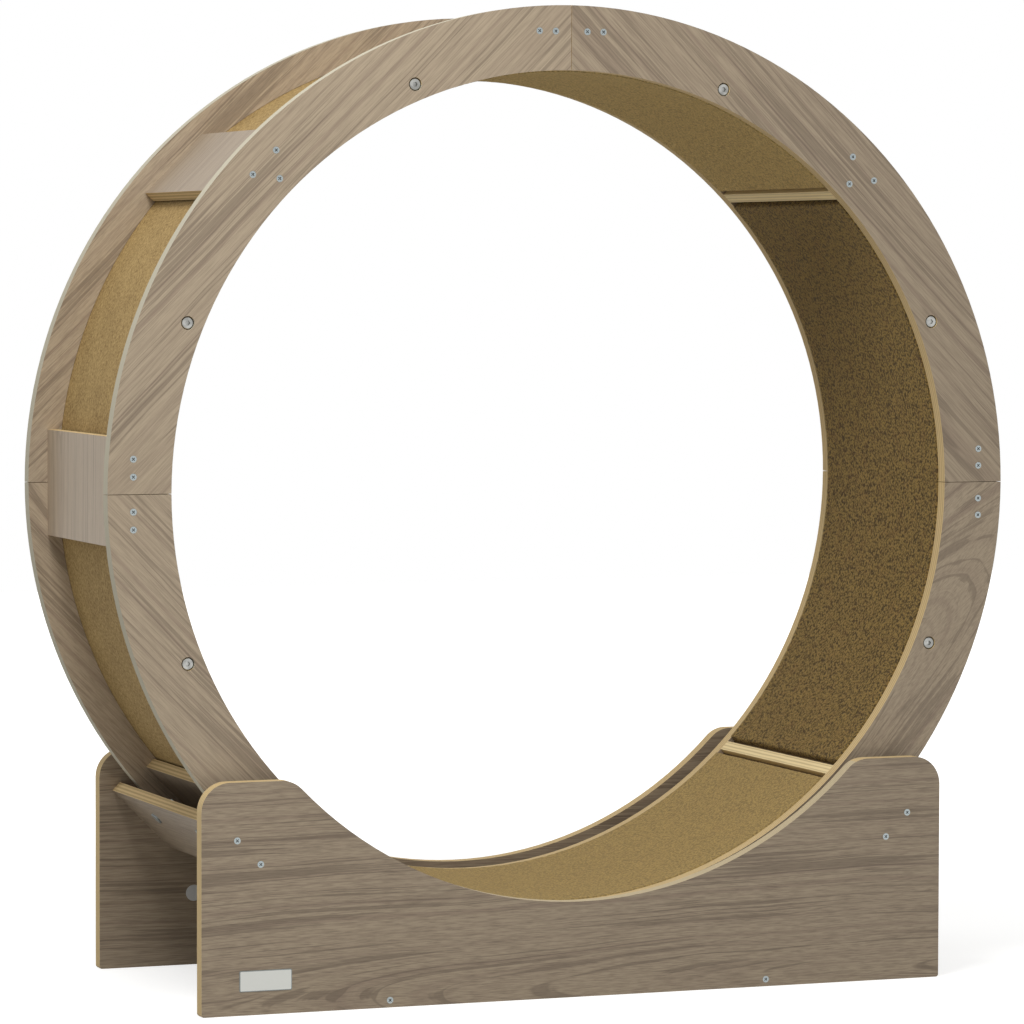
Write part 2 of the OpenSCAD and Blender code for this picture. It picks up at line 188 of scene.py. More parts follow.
class CatWheelBoard(bpy.types.PropertyGroup):
    """The bare hardboard of the curved panels"""

    ground: colour("Hardboard", "#B29661", "The ground of the pressed fibres")
    fibre: colour("Dark Fibres", "#7C6236", "The dark fibres in it")
    # Painted shade: a dark colour for the board under the carpets, which shows only in the shaded gaps
    # beside them
    gap_shade: colour("Hidden Board", "#4E3D27", "The glued and dusty board under the carpets")
    fibre_length: length("Fibre Length", 3, "Length of the pressed fibres")


class CatWheelCarpet(bpy.types.PropertyGroup):
    """The needled carpet of the running surface"""

    tip: colour("Pile Tips", "#93783F", "The worn tips of the pile")
    root: colour("Pile Roots", "#3A2B0D", "The dark hollows of the pile")
    rust: colour("Rust Fibres", "#6E4A2A", "The few reddish fibres")
    # The pale sheen colour of the pile: painted into each carpet as a painted sheen, and the tint of the
    # shader's own sheen
    sheen_colour: colour("Fibre Ends", "#CDB072", "The fibre ends that show when one looks along the surface")
    loop: length("Loop Size", 2.6, "Distance from one tuft to the next")
    relief: length("Relief", 0.7, "Height of the tufts over the hollows")
    grid: length("Mesh Step", 2.6, "Step of the carpet's mesh")
    trim: length("End Trim", 3.4, "How far the pile's wavy ends stand back from the carpet's clean cut")


class CatWheelMetal(bpy.types.PropertyGroup):
    """The metals and the plastics of the small pieces"""

    zinc: colour("Zinc Plate", "#A3ABAC", "Blue passivated zinc on the screws and brackets")
    nickel: colour("Nickel Plate", "#B4B4B0", "Nickel plate on the socket bolts")
    # Painted shade in the small recesses of the fasteners, and also the colour of their tarnish spots
    shade_and_tarnish: colour("Shade_And_Tarnish", "#1E1C19", "Dust and oil in the corners of the small recesses")
    nylon: colour("Nylon", "#2B2B2D", "Turned nylon of the rollers")
    plate: colour("Plate Field", "#DADBD5", "Satin anodised aluminium of the name plate")
    rim: colour("Plate Rim", "#7F8482", "Bright bevel round the name plate")
    label: colour("Label", "#E6E8E8", "Paper of the round label")


class CatWheelStudio(bpy.types.PropertyGroup):
    """The camera and the studio"""

    azimuth: bpy.props.FloatProperty(
        name="Azimuth",
        description="Angle of the camera round the wheel, from its front",
        subtype="ANGLE",
        default=math.radians(-21.289),
    )
    elevation: bpy.props.FloatProperty(
        name="Elevation",
        description="Angle of the camera over the horizon",
        subtype="ANGLE",
        default=math.radians(2.914),
    )
    roll: bpy.props.FloatProperty(
        name="Roll",
        description="Turn of the camera about its own axis",
        subtype="ANGLE",
        default=math.radians(0.154),
    )
    distance: bpy.props.FloatProperty(
        name="Distance",
        description="Distance from the camera to the point that it looks at",
        unit="LENGTH",
        default=5.158,
    )
    target: bpy.props.FloatVectorProperty(
        name="Target",
        description="The point that the camera looks at, from the wheel's axis",
        subtype="TRANSLATION",
        size=3,
        default=(-0.0047, 0, -0.0324),
    )
    lens: bpy.props.FloatProperty(
        name="Lens",
        description="Focal length of the camera in millimetres, on a 36 mm sensor",
        default=169.54,
    )
    paper: colour("Floor", "#C0C0BE", "The studio's floor")
    floor_glow: bpy.props.FloatProperty(
        name="Floor Glow",
        description="How much of the floor's white shows in its shadows too",
        min=0,
        max=1,
        default=0.7,
    )
    key_power: bpy.props.FloatProperty(
        name="Key Light",
        description="Power of the soft lamp in front of the wheel, up and to the left",
        unit="POWER",
        default=26.5,
    )
    ambient: bpy.props.FloatProperty(
        name="Ambient Light",
        description="Strength of the light from all round",
        min=0,
        default=0.5,
    )


class CatWheelSettings(bpy.types.PropertyGroup):
    """Everything about the wheel that a user would change"""

    laminate: bpy.props.PointerProperty(type=CatWheelLaminate)
    ply: bpy.props.PointerProperty(type=CatWheelPly)
    board: bpy.props.PointerProperty(type=CatWheelBoard)
    carpet: bpy.props.PointerProperty(type=CatWheelCarpet)
    metal: bpy.props.PointerProperty(type=CatWheelMetal)
    studio: bpy.props.PointerProperty(type=CatWheelStudio)


def put(tree, kind, inputs=None, **settings):
    """Adds a node with its settings, and values or links for its inputs. Returns its first output in use."""
    made = tree.nodes.new(kind)
    for name, value in settings.items():
        setattr(made, name, value)
    named = {s.name: s for s in reversed(made.inputs) if s.enabled}
    for key, value in (inputs or {}).items():
        socket = named[key] if isinstance(key, str) else made.inputs[key]
        if isinstance(value, bpy.types.NodeSocket):
            tree.links.new(value, socket)
        elif socket.type == "RGBA":
            socket.default_value = (*value, 1)
        else:
            socket.default_value = value
    return next((s for s in made.outputs if s.enabled), None)


def new_material(name):
    """A material with an empty node tree."""
    material = bpy.data.materials.new(name)
    material.use_nodes = True
    material.node_tree.nodes.clear()
    return material, material.node_tree


def close(tree, shader):
    """Links a shader to the material's output."""
    put(tree, "ShaderNodeOutputMaterial", {"Surface": shader})


def dress(node_name, material):
    """Gives a node of the frame its material."""
    piece = frame["nodes"][node_name]
    piece.data.materials.clear()
    piece.data.materials.append(material)


def settings():
    """The user's settings for the wheel."""
    return bpy.context.scene.cat_wheel


def middle_of(node_name):
    """The middle of a node's box."""
    low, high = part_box(node_name)
    return (low + high) / 2


def painted_shade_of(node_name):
    """How much painted shade darkens the print on a board."""
    return next((shade for part, shade in PAINTED_SHADES.items() if part in node_name), 0)


def grain_scale(length, width):
    """The scale of a pattern along and across the grain, from its two sizes."""
    return (1 / length, 1 / width, 1 / width)


def ply_wave(tree, object_place, node_name, face_axis):
    """A wave through the sheet, half of it to each ply, counted from the middle of the sheet."""
    half_wave = math.pi / settings().ply.ply_thickness
    depth = put(tree, "ShaderNodeVectorMath", {0: object_place, 1: face_axis}, operation="DOT_PRODUCT")
    plies_from = middle_of(node_name).dot(face_axis)
    turn_of_ply = put(
        tree,
        "ShaderNodeMath",
        {0: depth.node.outputs["Value"], 1: half_wave, 2: -plies_from * half_wave},
        operation="MULTIPLY_ADD",
    )
    return put(tree, "ShaderNodeMath", {0: turn_of_ply}, operation="COSINE")


def laminated_plywood(
    name, node_name, turn, pith, face_axis, ply_contrast, figure=1, greyed_side=0
):
    """Birch plywood faced with a printed wood-grain laminate, sawn through to show its plies.

    The print gives long streaks that close into arches where the pith comes near the face, under a satin
    skin, and the sawn edges are paler, duller and striped. turn brings the grain to X, and pith is the place
    of the printed log's pith from the piece's middle, in millimetres along, across and behind the grain.
    face_axis points through the sheet. ply_contrast and figure are how strongly plies and print show.
    The last argument is how far the edge that faces away from the wheel's axis is painted paler and greyer,
    or, below 0, the edge that faces the axis.
    """
    laminate, ply = settings().laminate, settings().ply
    material, tree = new_material(name)
    centre = middle_of(node_name) * PER_M
    place = put(tree, "ShaderNodeTexCoord")
    object_place = place.node.outputs["Object"]
    object_normal = place.node.outputs["Normal"]
    grain = put(
        tree,
        "ShaderNodeMapping",
        {
            "Vector": object_place,
            "Location": Vector(pith) - turn.to_matrix() @ centre,
            "Rotation": turn,
            "Scale": (PER_M, PER_M, PER_M),
        },
    )

    # Slow waves push the growth rings sideways along the log
    wave_scale = grain_scale(*GRAIN_WAVE)
    wave_place = put(tree, "ShaderNodeVectorMath", {0: grain, 1: wave_scale}, operation="MULTIPLY")
    waves = put(
        tree,
        "ShaderNodeTexNoise",
        {"Vector": wave_place, "Scale": 1, "Detail": 2, "Roughness": 0.45},
    )
    across = put(tree, "ShaderNodeVectorMath", {0: grain, 1: (0, 1, 1)}, operation="MULTIPLY")
    radius = put(tree, "ShaderNodeVectorMath", {0: across}, operation="LENGTH").node.outputs["Value"]
    ring = put(tree, "ShaderNodeMath", {0: waves, 1: WAVE_DEPTH, 2: radius}, operation="MULTIPLY_ADD")
    ring_spacing = laminate.ring_spacing * PER_M
    ring_count = put(tree, "ShaderNodeMath", {0: ring, 1: ring_spacing}, operation="DIVIDE")
    bands = put(
        tree,
        "ShaderNodeTexNoise",
        {"W": ring_count, "Scale": 1, "Detail": 5, "Roughness": 0.62},
        noise_dimensions="1D",
    )
    band_tone = put(
        tree,
        "ShaderNodeMapRange",
        {"Value": bands, "From Min": 0.42, "From Max": 0.74},
        interpolation_type="SMOOTHSTEP",
    )

    # Dark lines that fade in and out along the grain
    break_scale = grain_scale(*LINE_BREAK)
    break_place = put(tree, "ShaderNodeVectorMath", {0: grain, 1: break_scale}, operation="MULTIPLY")
    breaks = put(tree, "ShaderNodeTexNoise", {"Vector": break_place, "Scale": 1, "Detail": 1})
    line_count = put(tree, "ShaderNodeMath", {0: ring, 1: 1 / LINE_SPACING}, operation="MULTIPLY")
    lines = put(
        tree,
        "ShaderNodeTexNoise",
        {"W": line_count, "Scale": 1, "Detail": 3, "Roughness": 0.7},
        noise_dimensions="1D",
    )
    line_sum = put(tree, "ShaderNodeMath", {0: lines, 1: breaks}, operation="ADD")
    line_tone = put(
        tree,
        "ShaderNodeMapRange",
        {"Value": line_sum, "From Min": 1.05, "From Max": 1.16},
        interpolation_type="SMOOTHSTEP",
    )

    # Fine pores, drawn about one millimetre wide so that they still show
    pore_scale = grain_scale(laminate.pore_length * PER_M, PORE_WIDTH)
    pore_place = put(tree, "ShaderNodeVectorMath", {0: grain, 1: pore_scale}, operation="MULTIPLY")
    pores = put(
        tree,
        "ShaderNodeTexNoise",
        {"Vector": pore_place, "Scale": 1, "Detail": 2, "Roughness": 0.6},
    )
    pore_tone = put(tree, "ShaderNodeMapRange", {"Value": pores, "From Min": 0.4, "From Max": 0.75})

    band_share = put(
        tree,
        "ShaderNodeMapRange",
        {"Value": band_tone, "To Min": max(0, 1 - figure)},
    )
    ground = put(
        tree,
        "ShaderNodeMix",
        {"Factor": band_share, "A": laminate.pale, "B": laminate.middle},
        data_type="RGBA",
    )
    line_share = put(
        tree,
        "ShaderNodeMath",
        {0: line_tone, 1: LINE_DEPTH * figure},
        operation="MULTIPLY",
    )
    lined = put(
        tree,
        "ShaderNodeMix",
        {"Factor": line_share, "A": ground, "B": laminate.dark},
        data_type="RGBA",
    )
    # The pores, plus the board's painted shade, which darkens its whole face
    pore_share = put(
        tree,
        "ShaderNodeMath",
        {0: pore_tone, 1: PORE_DEPTH * figure, 2: painted_shade_of(node_name)},
        operation="MULTIPLY_ADD",
    )
    face_colour = put(
        tree,
        "ShaderNodeMix",
        {"Factor": pore_share, "A": lined, "B": laminate.dark},
        data_type="RGBA",
    )

    # The sawn edge: plies that alternate through the sheet, with short dark fibres
    fibres = put(
        tree,
        "ShaderNodeTexNoise",
        {"Vector": object_place, "Scale": PER_M / EDGE_FIBRE, "Detail": 3, "Roughness": 0.7},
    )
    wave = ply_wave(tree, object_place, node_name, face_axis)
    wave_sum = put(tree, "ShaderNodeMath", {0: fibres, 1: EDGE_BLUR, 2: wave}, operation="MULTIPLY_ADD")
    ply_tone = put(
        tree,
        "ShaderNodeMapRange",
        {"Value": wave_sum, "From Min": 0.2, "From Max": 1.6, "To Max": ply_contrast},
        interpolation_type="SMOOTHSTEP",
    )
    sawn_colour = put(
        tree,
        "ShaderNodeMix",
        {"Factor": ply_tone, "A": ply.cream, "B": ply.brown},
        data_type="RGBA",
    )
    # Edges that face away from the axis, or towards it with a share below 0, are painted a paler, greyer
    # colour
    from_axis = put(tree, "ShaderNodeVectorMath", {0: object_place, 1: AXIS}, operation="SUBTRACT")
    outward = put(
        tree,
        "ShaderNodeVectorMath",
        {0: from_axis, 1: object_normal},
        operation="DOT_PRODUCT",
    )
    greyed_reach = put(
        tree,
        "ShaderNodeMath",
        {0: outward.node.outputs["Value"], 1: greyed_side},
        operation="MULTIPLY",
        use_clamp=True,
    )
    is_greyed = put(tree, "ShaderNodeMath", {0: greyed_reach, 1: GREYED_FROM}, operation="GREATER_THAN")
    greyed_share = put(tree, "ShaderNodeMath", {0: is_greyed, 1: abs(greyed_side)}, operation="MULTIPLY")
    edge_colour = put(
        tree,
        "ShaderNodeMix",
        {"Factor": greyed_share, "A": sawn_colour, "B": ply.greyed},
        data_type="RGBA",
    )

    facing = put(tree, "ShaderNodeVectorMath", {0: object_normal, 1: face_axis}, operation="DOT_PRODUCT")
    facing = put(tree, "ShaderNodeMath", {0: facing.node.outputs["Value"]}, operation="ABSOLUTE")
    on_face = put(tree, "ShaderNodeMath", {0: facing, 1: FACE_FROM}, operation="GREATER_THAN")
    surface_colour = put(
        tree,
        "ShaderNodeMix",
        {"Factor": on_face, "A": edge_colour, "B": face_colour},
        data_type="RGBA",
    )
    roughness = put(tree, "ShaderNodeMapRange", {"Value": on_face, "To Min": 0.8, "To Max": 0.48})
    edge_height = put(tree, "ShaderNodeMath", {0: fibres, 1: EDGE_RELIEF}, operation="MULTIPLY")
    height = put(
        tree,
        "ShaderNodeMix",
        {"Factor": on_face, "A": edge_height, "B": pore_tone},
        data_type="FLOAT",
    )
    bump = put(tree, "ShaderNodeBump", {"Height": height, "Distance": 0.04 * MM, "Strength": 0.6})
    shader = put(
        tree,
        "ShaderNodeBsdfPrincipled",
        {"Base Color": surface_colour, "Roughness": roughness, "Normal": bump, "IOR": 1.5},
    )
    close(tree, shader)
    return material


def raw_plywood(name, node_name, face_axis):
    """Birch plywood with no facing, on edge, so that its plies show, streaked by their fibres."""
    ply = settings().ply
    material, tree = new_material(name)
    object_place = put(tree, "ShaderNodeTexCoord").node.outputs["Object"]
    fibre_scale = [PER_M / size for size in BAR_FIBRES]
    fibre_place = put(
        tree,
        "ShaderNodeVectorMath",
        {0: object_place, 1: fibre_scale},
        operation="MULTIPLY",
    )
    fibres = put(
        tree,
        "ShaderNodeTexNoise",
        {"Vector": fibre_place, "Scale": 1, "Detail": 4, "Roughness": 0.6},
    )
    wave = ply_wave(tree, object_place, node_name, face_axis)
    wave_sum = put(tree, "ShaderNodeMath", {0: fibres, 1: BAR_BLUR, 2: wave}, operation="MULTIPLY_ADD")
    tone = put(
        tree,
        "ShaderNodeMapRange",
        {"Value": wave_sum, "From Min": 0.5, "From Max": 2.4, "To Max": 0.45},
        interpolation_type="SMOOTHSTEP",
    )
    wood = put(
        tree,
        "ShaderNodeMix",
        {"Factor": tone, "A": ply.sapwood, "B": ply.brown},
        data_type="RGBA",
    )
    bump = put(tree, "ShaderNodeBump", {"Height": fibres, "Distance": 0.15 * MM, "Strength": 0.6})
    shader = put(
        tree,
        "ShaderNodeBsdfPrincipled",
        {"Base Color": wood, "Roughness": 0.75, "Normal": bump, "IOR": 1.5},
    )
    close(tree, shader)
    return material


def bare_hardboard(name, ground):
    """Pressed hardboard with no finish: matt, flecked with darker fibres that lie every way.

    The flecks are clumps of fibres, because single ones are too fine to show.
    """
    board = settings().board
    material, tree = new_material(name)
    object_place = put(tree, "ShaderNodeTexCoord").node.outputs["Object"]
    flecks = put(
        tree,
        "ShaderNodeTexNoise",
        {"Vector": object_place, "Scale": 1 / board.fibre_length, "Detail": 4, "Roughness": 0.7},
    )
    clouds = put(
        tree,
        "ShaderNodeTexNoise",
        {"Vector": object_place, "Scale": PER_M / BOARD_CLOUD, "Detail": 3, "Roughness": 0.6},
    )
    both = put(
        tree,
        "ShaderNodeMath",
        {0: clouds, 1: CLOUD_SHARE, 2: flecks},
        operation="MULTIPLY_ADD",
    )
    tone = put(tree, "ShaderNodeMapRange", {"Value": both, "From Min": 0.48, "From Max": 0.76})
    wood = put(tree, "ShaderNodeMix", {"Factor": tone, "A": ground, "B": board.fibre}, data_type="RGBA")
    bump = put(tree, "ShaderNodeBump", {"Height": flecks, "Distance": 0.12 * MM, "Strength": 0.6})
    shader = put(
        tree,
        "ShaderNodeBsdfPrincipled",
        {"Base Color": wood, "Roughness": 0.85, "Normal": bump, "IOR": 1.45},
    )
    close(tree, shader)
    return material


def needled_carpet(name, painted_sheen):
    """Needled polypropylene carpet: coarse matt tufts, lighter at their worn tips, with a few rusty fibres.

    The last argument is how much of the pale sheen colour is painted into the hollows and onto the tips, as
    a painted sheen.
    """
    carpet = settings().carpet
    material, tree = new_material(name)
    object_place = put(tree, "ShaderNodeTexCoord").node.outputs["Object"]

    # Round tufts, bent out of their rows by a noise of twice their size
    curl = 2 * carpet.loop
    curls = put(tree, "ShaderNodeTexNoise", {"Vector": object_place, "Scale": 1 / curl, "Detail": 1})
    push = put(
        tree,
        "ShaderNodeVectorMath",
        {0: curls.node.outputs["Color"], "Scale": curl},
        operation="SCALE",
    )
    curled = put(tree, "ShaderNodeVectorMath", {0: object_place, 1: push}, operation="ADD")
    tufts = put(tree, "ShaderNodeTexVoronoi", {"Vector": curled, "Scale": 1 / carpet.loop})
    tuft_tone = put(
        tree,
        "ShaderNodeMapRange",
        {"Value": tufts, "From Min": 0.2, "From Max": 0.8, "To Min": 1, "To Max": 0},
        interpolation_type="SMOOTHSTEP",
    )
    rust_patch = 7 * carpet.loop
    patches = put(
        tree,
        "ShaderNodeTexNoise",
        {"Vector": object_place, "Scale": 1 / rust_patch, "Detail": 4, "Roughness": 0.75},
    )
    rust_tone = put(
        tree,
        "ShaderNodeMapRange",
        {"Value": patches, "From Min": 0.5, "From Max": 0.75, "To Max": 0.35},
    )
    pile = put(
        tree,
        "ShaderNodeMix",
        {"Factor": tuft_tone, "A": carpet.root, "B": carpet.tip},
        data_type="RGBA",
    )
    rusty = put(
        tree,
        "ShaderNodeMix",
        {"Factor": rust_tone, "A": pile, "B": carpet.rust},
        data_type="RGBA",
    )
    # Painted sheen: the pile is mixed towards the pale sheen colour by a fixed share for each carpet
    in_hollows, on_tips = painted_sheen
    sheen_share = put(
        tree,
        "ShaderNodeMapRange",
        {"Value": tuft_tone, "To Min": in_hollows, "To Max": on_tips},
    )
    with_painted_sheen = put(
        tree,
        "ShaderNodeMix",
        {"Factor": sheen_share, "A": rusty, "B": carpet.sheen_colour},
        data_type="RGBA",
    )
    bump = put(tree, "ShaderNodeBump", {"Height": tuft_tone, "Distance": 0.5 * MM, "Strength": 0.8})
    shader = put(
        tree,
        "ShaderNodeBsdfPrincipled",
        {
            "Base Color": with_painted_sheen,
            "Roughness": 0.95,
            "Normal": bump,
            "Sheen Weight": 0.4,
            "Sheen Roughness": 0.35,
            "Sheen Tint": carpet.sheen_colour,
        },
    )
    close(tree, shader)
    return material


def plated_steel(name, tint, roughness, recess=2.5, shaded_to=0.25, unshaded_from=0.6, dulled=0):
    """Plated steel: a bright metal with a thin, slightly uneven plating, and painted shade in its recesses.

    recess is how far in millimetres a recess is looked for. Painted shade turns the surface dark and not
    metallic where less than the lower of the two shares that follow is open round it, and is gone above the
    higher one. dulled is how dark its spots of tarnish are.
    """
    material, tree = new_material(name)
    shade_and_tarnish = settings().metal.shade_and_tarnish
    # Painted shade: ambient occlusion darkens the colour and takes the metal shine away in recesses and
    # tight corners
    openness = put(tree, "ShaderNodeAmbientOcclusion", {"Distance": recess * MM}, samples=6)
    shine = put(
        tree,
        "ShaderNodeMapRange",
        {"Value": openness.node.outputs["AO"], "From Min": shaded_to, "From Max": unshaded_from},
    )
    clean = put(tree, "ShaderNodeMix", {"Factor": shine, "A": shade_and_tarnish, "B": tint}, data_type="RGBA")
    object_place = put(tree, "ShaderNodeTexCoord").node.outputs["Object"]
    uneven = put(
        tree,
        "ShaderNodeTexNoise",
        {"Vector": object_place, "Scale": PER_M / PLATING_GRAIN, "Detail": 3},
    )
    gloss = put(
        tree,
        "ShaderNodeMapRange",
        {"Value": uneven, "To Min": roughness * 0.7, "To Max": roughness * 1.4},
    )
    tarnish = put(
        tree,
        "ShaderNodeTexNoise",
        {"Vector": object_place, "Scale": PER_M / TARNISH_SPOT, "Detail": 1},
    )
    tarnish_tone = put(
        tree,
        "ShaderNodeMapRange",
        {"Value": tarnish, "From Min": 0.4, "From Max": 0.65, "To Max": dulled},
    )
    worn = put(
        tree,
        "ShaderNodeMix",
        {"Factor": tarnish_tone, "A": clean, "B": shade_and_tarnish},
        data_type="RGBA",
    )
    shader = put(
        tree,
        "ShaderNodeBsdfPrincipled",
        {"Base Color": worn, "Metallic": shine, "Roughness": gloss},
    )
    close(tree, shader)
    return material


def turned_nylon():
    """Turned nylon: a dull dark plastic with fine rings from the lathe."""
    material, tree = new_material("turned_nylon")
    object_place = put(tree, "ShaderNodeTexCoord").node.outputs["Object"]
    lathe = put(
        tree,
        "ShaderNodeTexWave",
        {
            "Vector": object_place,
            "Scale": WAVE_REPEAT / (LATHE_RING * MM),
            "Distortion": 0.6,
            "Detail": 2,
        },
        bands_direction="Y",
    ).node.outputs["Fac"]
    bump = put(tree, "ShaderNodeBump", {"Height": lathe, "Distance": 0.03 * MM, "Strength": 0.5})
    shader = put(
        tree,
        "ShaderNodeBsdfPrincipled",
        {"Base Color": settings().metal.nylon, "Roughness": 0.5, "IOR": 1.53, "Normal": bump},
    )
    close(tree, shader)
    return material


def anodised_plate():
    """Aluminium with a pale, satin raised field under clear lacquer, inside a bright bevelled rim."""
    metal = settings().metal
    material, tree = new_material("anodised_aluminium_plate")
    object_place = put(tree, "ShaderNodeTexCoord").node.outputs["Object"]
    rim_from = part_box("name_plate")[0].y + PLATE_FIELD_DEPTH * MM
    depth = put(tree, "ShaderNodeSeparateXYZ", {"Vector": object_place}).node.outputs["Y"]
    on_rim = put(tree, "ShaderNodeMath", {0: depth, 1: rim_from}, operation="GREATER_THAN")
    tint = put(
        tree,
        "ShaderNodeMix",
        {"Factor": on_rim, "A": metal.plate, "B": metal.rim},
        data_type="RGBA",
    )
    shine = put(tree, "ShaderNodeMapRange", {"Value": on_rim, "To Min": 0.3, "To Max": 1})
    brush_scale = [PER_M / size for size in BRUSH_MARK]
    brush_place = put(
        tree,
        "ShaderNodeVectorMath",
        {0: object_place, 1: brush_scale},
        operation="MULTIPLY",
    )
    brush = put(tree, "ShaderNodeTexNoise", {"Vector": brush_place, "Scale": 1, "Detail": 2})
    gloss = put(tree, "ShaderNodeMapRange", {"Value": brush, "To Min": 0.25, "To Max": 0.45})
    shader = put(
        tree,
        "ShaderNodeBsdfPrincipled",
        {"Base Color": tint, "Metallic": shine, "Roughness": gloss, "Coat Weight": 0.4},
    )
    close(tree, shader)
    return material


def coated_paper():
    """Coated label paper: smooth and white, with a faint mottle in its gloss."""
    material, tree = new_material("coated_label_paper")
    object_place = put(tree, "ShaderNodeTexCoord").node.outputs["Object"]
    mottle = put(
        tree,
        "ShaderNodeTexNoise",
        {"Vector": object_place, "Scale": PER_M / PAPER_MOTTLE, "Detail": 2},
    )
    gloss = put(tree, "ShaderNodeMapRange", {"Value": mottle, "To Min": 0.35, "To Max": 0.5})
    shader = put(
        tree,
        "ShaderNodeBsdfPrincipled",
        {"Base Color": settings().metal.label, "Roughness": gloss, "IOR": 1.5},
    )
    close(tree, shader)
    return material


def angle_of(index):
    """The angle of a quarter's middle about the wheel's axis."""
    return index * QUARTER_TURN


def radial(angle):
    """The direction out from the wheel's axis at an angle."""
    return Vector((math.cos(angle), 0, math.sin(angle)))


def radial_of(point):
    """The direction of a point from the wheel's axis, with no part along it."""
    return Vector((point.x, 0, point.z)).normalized()


class CATWHEEL_OT_rings(bpy.types.Operator):
    """Finish the eight ring segments"""

    bl_idname = "cat_wheel.dress_rings"
    bl_label = "Dress Ring Segments"

    def execute(self, context):
        chance = random.Random(SEEDS["rings"])
        for end in ENDS:
            for index, corner in enumerate(CORNERS):
                node_name = f"{end}_ring_{corner}"
                angle = angle_of(index) + EIGHTH_TURN
                lean = chance.uniform(-0.09, 0.09)
                pith = (chance.uniform(-400, 400), chance.uniform(25, 55), chance.uniform(-130, 130))
                if (end, corner) == ARCHED_SEGMENT:
                    lean, pith = ARCH_LEAN, ARCH_PITH
                turn = Euler((0, angle + QUARTER_TURN, lean))
                material = laminated_plywood(
                    "laminate_" + node_name,
                    node_name,
                    turn,
                    pith,
                    ACROSS_THE_WHEEL,
                    ply_contrast=0.45,
                    greyed_side=1,
                )
                dress(node_name, material)
        return {"FINISHED"}


class CATWHEEL_OT_boards(bpy.types.Operator):
    """Finish the boards and the divider bars that join the two rings"""

    bl_idname = "cat_wheel.dress_boards"
    bl_label = "Dress Drum Boards"

    def execute(self, context):
        chance = random.Random(SEEDS["boards"])
        places = [(q + "_joint_board", angle_of(i)) for i, q in enumerate(QUARTERS)]
        places += [(c + "_corner_board", angle_of(i) + EIGHTH_TURN) for i, c in enumerate(CORNERS)]
        for node_name, angle in places:
            turn = Euler((0, angle + QUARTER_TURN + chance.uniform(-0.03, 0.03), 0))
            pith = (chance.uniform(-200, 200), chance.uniform(-160, 160), chance.uniform(30, 70))
            material = laminated_plywood(
                "laminate_" + node_name,
                node_name,
                turn,
                pith,
                radial(angle),
                ply_contrast=0.6,
                figure=0.7,
            )
            dress(node_name, material)
        for index, corner in enumerate(CORNERS):
            node_name = corner + "_divider_bar"
            tangent = radial(angle_of(index) + EIGHTH_TURN + QUARTER_TURN)
            dress(node_name, raw_plywood("plywood_" + node_name, node_name, tangent))
        return {"FINISHED"}


class CATWHEEL_OT_panels(bpy.types.Operator):
    """Finish the outer skins and the runway panels"""

    bl_idname = "cat_wheel.dress_panels"
    bl_label = "Dress Curved Panels"

    def execute(self, context):
        board = settings().board
        bare = bare_hardboard("bare_hardboard", board.ground)
        # The runway panels get the dark colour as painted shade in the gaps beside the carpets
        shaded = bare_hardboard("gap_shade_hardboard", board.gap_shade)
        for quarter in QUARTERS:
            dress(quarter + "_outer_skin", bare)
            dress(quarter + "_runway_panel", shaded)
        return {"FINISHED"}


def carpet_mesh(name, node_name, angle):
    """A curved carpet with a tufted face, wavy cut ends and a flat back, in the space of its node."""
    carpet = settings().carpet
    low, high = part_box(node_name)
    corners = [Vector(v.co) - AXIS for v in frame["nodes"][node_name].data.vertices]
    radii = [math.hypot(c.x, c.z) for c in corners]
    face_r, back_r = min(radii), max(radii)
    middle = radial(angle)
    outs = [radial_of(c) for c in corners]
    turns = [math.atan2(-middle.cross(out).y, middle.dot(out)) for out in outs]
    half_turn = max(turns) - carpet.trim / face_r
    half_width = (high.y - low.y) / 2
    rows = round(2 * half_turn * face_r / carpet.grid)
    columns = round(2 * half_width / carpet.grid)
    shape = bmesh.new()
    grid = []
    for row in range(rows + 1):
        line = []
        along = (2 * row / rows - 1) * half_turn
        for column in range(columns + 1):
            across = (2 * column / columns - 1) * half_width
            point = radial(angle + along) * face_r + Vector((0, across, 0))
            height = noise.noise(point / carpet.loop) + noise.noise(point * 2 / carpet.loop) / 2
            ragged = 0
            # The cut ends are sunk a little, and wave
            if row in (0, rows):
                sway = noise.noise(point / (2 * carpet.loop)) * carpet.relief
                ragged = sway * math.copysign(1, along)
                height -= 1
            radius = face_r + carpet.relief / 2 - height * carpet.relief / 2
            turned = angle + along + ragged / face_r
            line.append(shape.verts.new(AXIS + radial(turned) * radius + Vector((0, across, 0))))
        grid.append(line)
    for row in range(rows):
        for column in range(columns):
            shape.faces.new((
                grid[row][column],
                grid[row + 1][column],
                grid[row + 1][column + 1],
                grid[row][column + 1],
            ))
    rim = [edge for edge in shape.edges if len(edge.link_faces) == 1]
    sides = bmesh.ops.extrude_edge_only(shape, edges=rim)["geom"]
    for vert in [g for g in sides if isinstance(g, bmesh.types.BMVert)]:
        offset = vert.co - AXIS
        vert.co = AXIS + radial_of(offset) * back_r + Vector((0, offset.y, 0))
    bmesh.ops.recalc_face_normals(shape, faces=shape.faces)
    mesh = bpy.data.meshes.new(name)
    shape.to_mesh(mesh)
    shape.free()
    mesh.shade_smooth()
    return mesh


